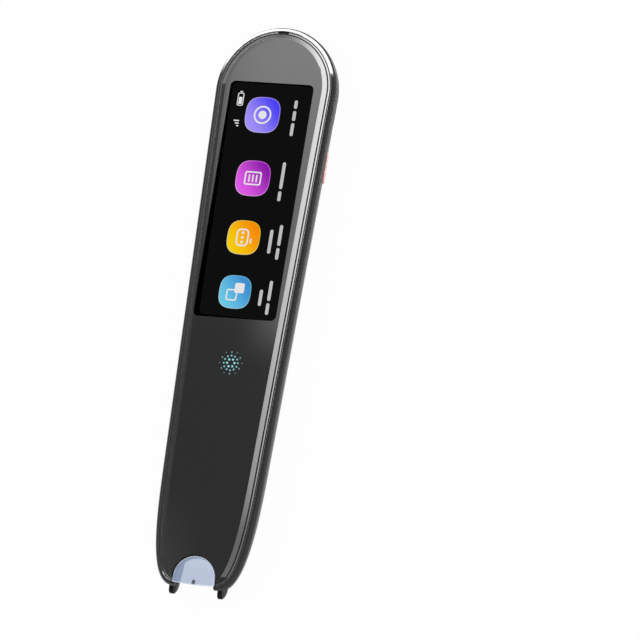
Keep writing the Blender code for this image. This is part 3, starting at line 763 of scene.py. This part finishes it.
def joined(name, bodies):
    # one mesh from several, which don't touch
    work = bmesh.new()
    for body in bodies:
        work.from_mesh(body.data)
        bpy.data.objects.remove(body)
    mesh = bpy.data.meshes.new(name)
    work.to_mesh(mesh)
    work.free()
    return bodyOf(name, mesh)


def ringPlate(name, outer, inner, low, high):
    # a flat band between two outlines with the same number of places
    rings = [
        [(x, y, low) for x, y in outer], [(x, y, high) for x, y in outer],
        [(x, y, high) for x, y in inner], [(x, y, low) for x, y in inner],
    ]
    count = len(outer)
    points = [point for ring in rings for point in ring]
    faces = sides(count, 4)
    for step in range(count):
        after = (step + 1) % count
        faces.append((3 * count + step, 3 * count + after, after, step))
    return bodyOf(name, meshOf(name, points, faces))


glyphs = (
    {"rings": ((0.0024, 0.00195),), "discs": ((0.0, 0.0, 0.0011, 36),)},
    {"frames": ((0.0, 0.0, 0.0036, 0.0046, 0.0006, 0.00038),),
     "bars": ((0.0, 0.0010, 0.0020, 0.00038), (0.0, 0.0, 0.0020, 0.00038), (0.0, -0.0010, 0.0020, 0.00038))},
    {"frames": ((0.0, 0.0003, 0.0046, 0.0034, 0.0012, 0.00040),), "bars": ((-0.0008, -0.0021, 0.0013, 0.00040),),
     "discs": ((-0.0012, 0.0003, 0.00036, 20), (0.0, 0.0003, 0.00036, 20), (0.0012, 0.0003, 0.00036, 20))},
    {"frames": ((-0.0008, 0.0008, 0.0030, 0.0030, 0.0006, 0.00036),),
     "plates": ((0.0011, -0.0011, 0.0026, 0.0005),)},
)


def glyphShapes(glyph, centre, low, high):
    # plain signs of the builder's own, drawn with u up the pen and v towards its left edge
    def at(u, v):
        return (centre[0] - v, centre[1] + u)

    made = []
    for outer, inner in glyph.get("rings", ()):
        made.append(ringPlate("ring", circle(outer, centre), circle(inner, centre), low, high))
    for u, v, length, width, radius, line in glyph.get("frames", ()):
        outer = roundedBox(width, length, radius, at(u, v))
        inner = roundedBox(width - 2 * line, length - 2 * line, radius - line, at(u, v))
        made.append(ringPlate("frame", outer, inner, low, high))
    for u, v, radius, steps in glyph.get("discs", ()):
        made.append(prism("disc", circle(radius, at(u, v), steps), low, high))
    for u, v, length, width in glyph.get("bars", ()):
        made.append(prism("bar", stadium(length, width, math.pi / 2, at(u, v)), low, high))
    for u, v, size, radius in glyph.get("plates", ()):
        made.append(prism("plate", roundedBox(size, size, radius, at(u, v)), low, high))
    return made


def makeTiles():
    low, high = tiles["low"], tiles["high"]
    pale = tiles["rimPale"]
    for order, ((x, along), size) in enumerate(zip(tiles["places"], tiles["sizes"])):
        centre, number = (x, along - section["middle"]), order + 1
        inside = size - 2 * tiles["rim"]
        colors = [screenColor(*tiles[key][order]) for key in ("lows", "highs")]
        paler = (*((1 - pale) * channel + pale for channel in colors[0][:3]), 1.0)
        tile = prism(f"screenTile{number}", squircle(inside - tiles["rimGap"], centre), low, high)
        dress(smooth(tile), tileGlow(f"tileLight{number}", *colors, centre, size / 2), "cover_glass")
        rim = ringPlate(f"tileRim{number}", squircle(size, centre), squircle(inside, centre), low, high)
        glow = tileGlow(f"rimLight{number}", paler, colors[0], centre, size / 2, tiles["rimGlow"])
        dress(smooth(rim), glow, "cover_glass")
        sign = joined(f"tileSign{number}", glyphShapes(glyphs[order], centre, *tiles["signHeights"]))
        dress(smooth(sign), glyphPale, "cover_glass")


labels = {
    "lines": (
        (0.00645, 0.1220, (0.0034, 0.0026, 0.0022)), (0.00595, 0.10525, (0.0026, 0.0070)),
        (0.0055, 0.08955, (0.0062,)), (0.0079, 0.08955, (0.0030, 0.0054)),
        (0.0053, 0.0749, (0.0042,)), (0.0076, 0.0751, (0.0030, 0.0052)),
    ),
    "thickness": 0.00085, "space": 0.0006,
    "battery": (-0.00885, 0.1260, 0.0034, 0.0017), "batteryCorner": 0.0004, "batteryWall": 0.0002,
    "chargeGap": 0.0004, "chargeShare": 0.55, "chargeDrop": 0.1, "cap": (0.0007, 0.0003), "corner": 0.0001,
    "signal": (-0.00830, 0.1190),
    "bars": 3, "barFirst": 0.0006, "barRise": 0.00045, "barPitch": 0.00068, "barWidth": 0.00030,
}


def makeLabels():
    # pale strips where a screen would carry words
    low, high = tiles["low"], tiles["high"]
    strips = []
    for x, along, lengths in labels["lines"]:
        start = along - (sum(lengths) + labels["space"] * (len(lengths) - 1)) / 2
        for length in lengths:
            centre = (x, start + length / 2 - section["middle"])
            strips.append(prism("strip", stadium(length, labels["thickness"], math.pi / 2, centre), low, high))
            start += length + labels["space"]
    dress(smooth(joined("labelStrips", strips)), plainStrip, "cover_glass")


def makeStatusSigns():
    low, high = tiles["low"], tiles["high"]
    x, along, length, width = labels["battery"]
    y = along - section["middle"]
    wall, outerCorner, corner = labels["batteryWall"], labels["batteryCorner"], labels["corner"]
    inside = roundedBox(width - 2 * wall, length - 2 * wall, outerCorner - wall, (x, y))
    charge = roundedBox(width - 2 * labels["chargeGap"], length * labels["chargeShare"], corner,
                        (x, y - length * labels["chargeDrop"]))
    cap = roundedBox(*labels["cap"], corner, (x, y + length / 2 + labels["cap"][1]))
    signs = [ringPlate("case", roundedBox(width, length, outerCorner, (x, y)), inside, low, high),
             prism("charge", charge, low, high), prism("cap", cap, low, high)]
    across, along = labels["signal"]
    thin = labels["barWidth"]
    for step in range(labels["bars"]):
        tall = labels["barFirst"] + labels["barRise"] * step
        place = (across - tall / 2, along - section["middle"] + labels["barPitch"] * step)
        signs.append(prism("bar", roundedBox(tall, thin, thin / 3, place, 3), low, high))
    dress(smooth(joined("statusSigns", signs)), glyphPale, "cover_glass")


paleTints = ((0.98, 0.98, 1.0), (0.99, 0.99, 1.0))
glyphPale = grainedLamp("paleGlyph", shade(0.80, paleTints[0]), shade(0.90, paleTints[1]), 600.0, 2.0)
plainStrip = grainedLamp("labelPale", shade(0.52, paleTints[0]), shade(0.60, paleTints[1]), 600.0, 2.0)
makeCoverGlass()
makeDisplay()
makeTiles()
makeLabels()
makeStatusSigns()
print("glass and display made")


dots = {
    "counts": (6, 12, 6, 6), "reaches": (0.00100, 0.00190, 0.00280, 0.00302),
    "radii": (0.00029, 0.00024, 0.00022, 0.00017), "turns": (0.0, 0.0, 30.0, 0.0), "tilt": 3.0,
    "steps": 18, "height": 0.00001, "lift": 0.000004, "innerFade": (0.0008, 0.0022), "outerFade": (0.0024, 0.0031),
    "colors": ((150, 222, 230), (128, 184, 192), (104, 122, 124)),
}


def dotGlow(centre):
    # three teals from the middle of the patch outwards
    recipe = Recipe("statusGlow")
    x, y, _ = recipe.axes()
    first, second, third = (screenColor(*color) for color in dots["colors"])
    reach = ((x - centre[0]) * (x - centre[0]) + (y - centre[1]) * (y - centre[1])).power(0.5)
    inner = recipe.blend(reach.rise(*dots["innerFade"]), first, second)
    return recipe.lamp(recipe.blend(reach.rise(*dots["outerFade"]), inner, third))


def dotTree(middle):
    # rings of small discs, one circle of points per ring
    tree = bpy.data.node_groups.new("statusDotRings", "GeometryNodeTree")
    tree.interface.new_socket("Geometry", in_out="OUTPUT", socket_type="NodeSocketGeometry")
    spread = tree.interface.new_socket("Spread", in_out="INPUT", socket_type="NodeSocketFloat")
    spread.default_value = 1.0
    tree.interface.new_socket("Finish", in_out="INPUT", socket_type="NodeSocketMaterial")

    def add(kind, **values):
        made = tree.nodes.new(kind)
        for name, value in values.items():
            if isinstance(value, bpy.types.NodeSocket):
                tree.links.new(value, made.inputs[name])
            else:
                made.inputs[name].default_value = value
        return made

    group = add("NodeGroupInput")
    joinAll = add("GeometryNodeJoinGeometry")
    for count, reach, radius, turn in zip(dots["counts"], dots["reaches"], dots["radii"], dots["turns"]):
        wide = add("ShaderNodeMath")
        wide.operation = "MULTIPLY"
        wide.inputs[1].default_value = reach
        tree.links.new(group.outputs["Spread"], wide.inputs[0])
        source = add("GeometryNodeMeshCircle", Vertices=count, Radius=wide.outputs[0])
        place = add("GeometryNodeTransform", Geometry=source.outputs["Mesh"], Translation=middle,
                    Rotation=(0.0, 0.0, math.radians(turn + dots["tilt"])))
        disc = add("GeometryNodeMeshCylinder", Vertices=dots["steps"], Depth=dots["height"], Radius=radius)
        points = add("GeometryNodeInstanceOnPoints", Points=place.outputs["Geometry"],
                     Instance=disc.outputs["Mesh"])
        tree.links.new(points.outputs["Instances"], joinAll.inputs["Geometry"])
    realize = add("GeometryNodeRealizeInstances", Geometry=joinAll.outputs["Geometry"])
    finish = add("GeometryNodeSetMaterial", Geometry=realize.outputs["Geometry"], Material=group.outputs["Finish"])
    add("NodeGroupOutput", Geometry=finish.outputs["Geometry"])
    return tree


def makeStatusDots():
    across, along = status["centre"]
    middle = Vector((across, along - section["middle"], section["thickness"] + dots["lift"]))
    body = bodyOf("statusDots", bpy.data.meshes.new("statusDots"))
    step = body.modifiers.new("Dots", "NODES")
    step.node_group = dotTree(middle)
    glow = dotGlow(middle)
    for item in step.node_group.interface.items_tree:
        if item.in_out == "INPUT":
            step[item.identifier] = glow if item.name == "Finish" else 1.0
    dress(smooth(settle(body)), glow, "light_guide")


makeStatusDots()
print("status dots made")


def makeWindow():
    top, rounding, share = section["thickness"], window["rounding"], window["easedShare"]
    levels = ((cover["under"], 0.0), (top - rounding, 0.0), (top - rounding * share, rounding * share),
              (top, rounding))
    rings = []
    for height, inset in levels:
        line = arch(window["halfWidth"] - inset, window["apex"] - inset, window["foot"] + inset, window["sag"])
        rings.append([(x, y, height) for x, y in line])

    # faces on the rounded top edge of the plate, which get a pale colour as a painted highlight
    def onPaintedHighlight(place, normal):
        low, high = window["highlightFacing"]
        return place.z > top - rounding and low < normal.z < high

    clear = grained("windowClear", (0.39, 0.49, 0.69), (0.42, 0.52, 0.72), 400.0, roughness=0.12, spread=0.05,
                    alpha=(0.49, 0.03), bump=0.0, ior=1.3)
    # a pale, less clear colour on the rounded edge: a painted highlight of the polished edge
    edge = grained("windowEdgePaintedHighlight", (0.74, 0.80, 0.92), (0.82, 0.87, 0.96), 500.0, roughness=0.4, spread=0.1,
                   alpha=(0.85, 0.05), bump=0.0, specular=0.1)
    plate = dress(smooth(stackedBody("scanWindow", rings)), clear, "clear_plate", "scan_window")
    paintWhere(plate, edge, onPaintedHighlight)
    mark = boxBetween("aimMark", *window["mark"], window["markHeights"])
    dress(smooth(mark), grained("aimMarkGrey", (0.02, 0.025, 0.04), (0.04, 0.05, 0.07), 500.0), "liner_black")


makeWindow()
print("window made")


liner = {
    "halfWidth": 0.0060, "apex": 0.0125, "wall": 0.0012, "top": 0.0079, "footReach": 0.0018,
    "footRounding": 0.00025, "rounding": 0.00012, "notchUnder": -0.004,
    "port": (0.0090, 0.0036), "portReach": (0.00625, 0.0157), "portHeight": 0.0052,
    "footLine": ((0.0012, 0.0077), (-0.0007, 0.0077), (-0.0013, 0.00745), (-0.0017, 0.0070), (-0.0018, 0.0065),
                 (-0.0016, 0.0059), (-0.0012, 0.0052), (-0.0006, 0.0045), (0.0002, 0.0039), (0.0012, 0.0036),
                 (0.0026, 0.0035), (0.0026, 0.0051)),
}


def makeLiner():
    half = liner["halfWidth"]
    outerHalf, outerApex = half + liner["wall"], liner["apex"] + liner["wall"]
    shape = arch(outerHalf, outerApex, -liner["footReach"])
    body = prism("tipLiner", shape, section["below"], liner["top"])
    carve(body, [outlineBody("hullGuide", hullRings(0.0, 0.0, 0.0))], "INTERSECT")
    line = [(along - section["middle"], height) for along, height in liner["footLine"]]
    feet = []
    for side in (1, -1):
        across = sorted((side * half / 2, side * outerHalf))
        feet.append(soften(prism("foot", line, *across, "X"), liner["footRounding"], segments=4))
    carve(body, feet, "UNION")
    notch = arch(half, liner["apex"], section["pastTip"])
    reach = [along - section["middle"] for along in liner["portReach"]]
    carve(body, [prism("linerNotch", notch, liner["notchUnder"], section["thickness"]),
                 prism("port", stadium(*liner["port"]), *reach, "Y", (0.0, 0.0, liner["portHeight"]))])
    soften(body, liner["rounding"], segments=2, angle=50)
    dress(smooth(body), linerSatin, "liner_black", "tip_trigger", ride="trigger")


makeLiner()
print("liner made")


key = {
    "length": 0.0083, "width": 0.0023, "proud": 0.00045, "rounding": 0.0003, "roundingSteps": 6, "root": 0.0012,
    "endSteps": 24, "rimShare": 0.9,
    # the rim colours are a darker pink than the face: painted shade on the key's rounded sides
    "face": ((248, 200, 198), (253, 214, 212)), "rim": ((236, 160, 156), (244, 178, 174)),
}


def hullSide(along, height):
    # how far the hull reaches to the side at a height
    share = (section["parting"] - height) / section["parting"]
    fullness = section["hullFullness"]
    return sideHalfWidth(along) - section["hullInset"] * (1 - (1 - share**fullness) ** (1 / fullness))


def makeKey():
    along, middleHeight = shell["keyPlace"], shell["keyHeight"]
    low = hullSide(along, middleHeight - key["width"] / 2)
    high = hullSide(along, middleHeight + key["width"] / 2)
    lean = (high - low) / key["width"]
    face = (low + high) / 2 + key["proud"]
    rounding, steps = key["rounding"], key["roundingSteps"]
    levels = [(-key["root"], 0.0), (-rounding, 0.0)]
    for step in range(1, steps + 1):
        turn = math.pi / 2 * step / steps
        levels.append((-rounding * (1 - math.sin(turn)), rounding * (1 - math.cos(turn))))
    rings = []
    for depth, inset in levels:
        shape = stadium(key["length"] - 2 * inset, key["width"] - 2 * inset, steps=key["endSteps"])
        rings.append([(face + depth + z * lean, y + along - section["middle"], z + middleHeight) for y, z in shape])

    # the rounded sides of the key, which get the darker pink as painted shade
    def onShadedRim(place, normal):
        return place.x - (place.z - middleHeight) * lean < face - rounding * key["rimShare"]

    facePink = grained("keyPink", *(screenColor(*color) for color in key["face"]), 4200.0, 1.0, roughness=0.28,
                       spread=0.1)
    # darker pink for the sides: painted shade
    shadedRimPink = grained("keyRimPaintedShade", *(screenColor(*color) for color in key["rim"]), 2000.0, 1.0, roughness=0.3,
                      spread=0.1, bump=0.0)
    body = dress(smooth(stackedBody("powerKey", rings)), facePink, "key_pink", "power_button", ride="key")
    paintWhere(body, shadedRimPink, onShadedRim)


makeKey()
print("key made")


steelSheet = grained("steelSheet", (0.42, 0.43, 0.45), (0.60, 0.61, 0.63), 900.0, stretch=(1.0, 0.1, 1.0),
                     roughness=0.22, metallic=1.0)
boardGreen = grained("boardGreen", (0.01, 0.06, 0.03), (0.02, 0.12, 0.05), 1200.0, roughness=0.35)
chipBlack = grained("chipBlack", (0.012, 0.012, 0.013), (0.03, 0.03, 0.03), 2500.0, roughness=0.5)
flexAmber = grained("flexAmber", (0.35, 0.15, 0.02), (0.50, 0.25, 0.05), 700.0, roughness=0.3)
foilGrey = grained("foilGrey", (0.40, 0.41, 0.43), (0.62, 0.63, 0.65), 300.0, roughness=0.25, metallic=0.9)
paleMoulding = grained("paleMoulding", (0.62, 0.60, 0.52), (0.76, 0.74, 0.66), 800.0, roughness=0.45)
lensCoat = grained("lensCoat", (0.01, 0.01, 0.03), (0.03, 0.02, 0.05), 400.0, roughness=0.04)
guideTeal = grained("guideTeal", (0.25, 0.60, 0.66), (0.35, 0.72, 0.78), 500.0, roughness=0.25)
meshCloth = grained("meshCloth", (0.004, 0.004, 0.004), (0.016, 0.016, 0.016), 6000.0, roughness=0.7)
finishBySlot = {
    "steel": steelSheet, "board_green": boardGreen, "chip_black": chipBlack, "flex_orange": flexAmber,
    "battery_foil": foilGrey, "pale_plastic": paleMoulding, "lens_black": lensCoat, "light_guide": guideTeal,
    "liner_black": linerSatin, "cover_glass": frameBlack, "shell_gloss": shellBlack, "clear_plate": linerSatin,
    "key_pink": linerSatin,
}
for part in frame["record"]["subparts"]:
    node = frame["nodes"][part["node"]]
    look = meshCloth if part["node"] == "speaker_mesh" else finishBySlot[part["material_slot"]]
    node.data.materials.clear()
    node.data.materials.append(look)
print("carried-over finishes set")


studio = {
    "floorSize": 12.0, "floorDrop": 0.0002, "floorUnder": -0.02, "floorToEye": 0.97, "floorToGloss": 0.55,
    "softLevel": 0.95, "glossLevel": 0.60, "driftScale": 2.0, "drift": 0.1,
    "headBase": 0.54, "headLight": 4.4, "headStart": (0.17, 0.33), "headAside": (-0.46, -0.40), "headFar": 0.56,
    "stripLight": 2.2, "stripAside": (-0.400, -0.375), "stripEnd": (0.155, 0.185), "stripFade": (0.18, 0.30),
    "tipLight": 0.4, "tipAside": (-0.420, -0.400), "tipEnd": (0.04, 0.09),
}


def makeFloor():
    half = studio["floorSize"] / 2
    heights = (studio["floorUnder"], -studio["floorDrop"])
    floor = boxBetween("floor", (-half, half), (-half, half), heights)
    recipe = Recipe("floorPaper")
    recipe.finish(color=shade(0.86), roughness=0.9, specular=0.0)
    path = recipe.node("ShaderNodeLightPath", output="Is Camera Ray")
    outputs = path.socket.node.outputs
    straight = path + Field(recipe, outputs["Is Transmission Ray"])
    share = straight * studio["floorToEye"] + Field(recipe, outputs["Is Glossy Ray"]) * studio["floorToGloss"]
    lift = recipe.node("ShaderNodeEmission", values={"Color": shade(1.0), "Strength": 1.0})
    mixed = recipe.node("ShaderNodeMixShader", values={0: share})
    recipe.tree.links.new(recipe.shader.outputs[0], mixed.socket.node.inputs[1])
    recipe.tree.links.new(lift.socket, mixed.socket.node.inputs[2])
    recipe.tree.links.new(mixed.socket, recipe.output.inputs["Surface"])
    recipe.material.cycles.emission_sampling = "NONE"
    floor.data.materials.append(recipe.material)


def makeWorld():
    # white to the eye, a plain level for soft surfaces and a darker one for what gloss mirrors
    world = bpy.data.worlds.new("studio")
    bpy.context.scene.world = world
    world.use_nodes = True
    tree = world.node_tree
    tree.nodes.clear()
    path = tree.nodes.new("ShaderNodeLightPath")
    out = tree.nodes.new("ShaderNodeOutputWorld")
    before = None
    skies = ((None, studio["softLevel"]), ("Is Glossy Ray", studio["glossLevel"]), ("Is Camera Ray", 1.0))
    for outlet, level in skies:
        sky = tree.nodes.new("ShaderNodeBackground")
        sky.inputs["Color"].default_value = shade(1.0)
        sky.inputs["Strength"].default_value = level
        if outlet:
            mix = tree.nodes.new("ShaderNodeMixShader")
            tree.links.new(path.outputs[outlet], mix.inputs[0])
            tree.links.new(before.outputs[0], mix.inputs[1])
            tree.links.new(sky.outputs[0], mix.inputs[2])
            sky = mix
        before = sky
    tree.links.new(before.outputs[0], out.inputs["Surface"])


def headGlow(recipe):
    # brightest over the head, cut off softly towards the tip, with a strip that the glass edge catches
    x, y, _ = recipe.axes()
    fall = x.rise(*studio["headAside"]) * (1 - studio["headFar"]) + studio["headFar"]
    strip = x.rise(*studio["stripAside"]) * y.rise(*studio["stripEnd"]) * (1 - y.rise(*studio["stripFade"]))
    tip = (1 - x.rise(*studio["tipAside"])) * (1 - y.rise(*studio["tipEnd"])) * studio["tipLight"]
    head = y.rise(*studio["headStart"]) * fall * studio["headLight"]
    return head + strip * studio["stripLight"] + tip + studio["headBase"]


def glowAlong(axis, span, gain, base=0.0):
    # a card's light that grows along one axis
    return lambda recipe: recipe.axes()[axis].rise(*span) * gain + base


def steadyGlow(level):
    # an even light, but for a very faint drift
    return lambda recipe: recipe.noise(studio["driftScale"]) * studio["drift"] + level


cards = {
    "headCard": (headGlow, (-0.9, -0.2, 1.0), (-0.9, 0.9, 1.0), (-0.02, 0.9, 1.0), (-0.02, -0.2, 1.0)),
    "sideCard": (glowAlong(1, (-0.05, 0.38), 16.0, 3.2),
                 (0.62, -0.7, 1.0), (0.62, 1.4, 1.0), (1.35, 1.4, 1.0), (1.35, -0.7, 1.0)),
    "noseCard": (steadyGlow(4.5), (0.0, -1.1, 1.0), (0.55, -0.15, 1.0), (0.62, -0.15, 1.0), (0.62, -1.1, 1.0)),
    "rearCard": (glowAlong(0, (-0.60, 0.70), 16.0, 2.5),
                 (-0.6, 1.4, 0.22), (1.5, 1.4, 0.35), (1.5, 1.4, 1.75), (-0.6, 1.4, 0.72)),
    "leftCard": (steadyGlow(2.5),
                 (-3.2, 0.9, 0.02), (-0.62, 1.44, 0.08), (-0.62, 1.44, 0.66), (-3.2, 0.9, 0.60)),
    "lowCard": (steadyGlow(22.0), (-0.1, 1.35, 0.0), (1.5, 1.35, 0.0), (1.5, 1.35, 0.34), (-0.1, 1.35, 0.34)),
    "crownCard": (steadyGlow(28.0),
                  (-0.85, 1.42, 0.58), (0.9, 1.42, 1.75), (0.9, 1.42, 2.6), (-0.85, 1.42, 1.35)),
    "cornerCard": (glowAlong(0, (-2.6, -1.6), 28.0),
                   (-2.6, 1.0, 0.60), (-0.70, 1.45, 0.66), (-0.70, 1.45, 1.40), (-2.6, 1.0, 1.25)),
}


def makeCards():
    # glowing cards round the pen that only its gloss sees
    for name, (glow, *corners) in cards.items():
        mesh = bpy.data.meshes.new(name)
        mesh.from_pydata(corners, [], [(0, 1, 2, 3)])
        recipe = Recipe(name)
        light = recipe.node("ShaderNodeEmission", values={"Color": shade(1.0), "Strength": glow(recipe)})
        recipe.tree.links.new(light.socket, recipe.output.inputs["Surface"])
        recipe.material.cycles.emission_sampling = "NONE"
        mesh.materials.append(recipe.material)
        card = bodyOf(name, mesh)
        card.visible_camera = False
        card.visible_diffuse = False


makeFloor()
makeWorld()
makeCards()
bpy.context.scene.view_settings.view_transform = "Standard"
print("studio made")
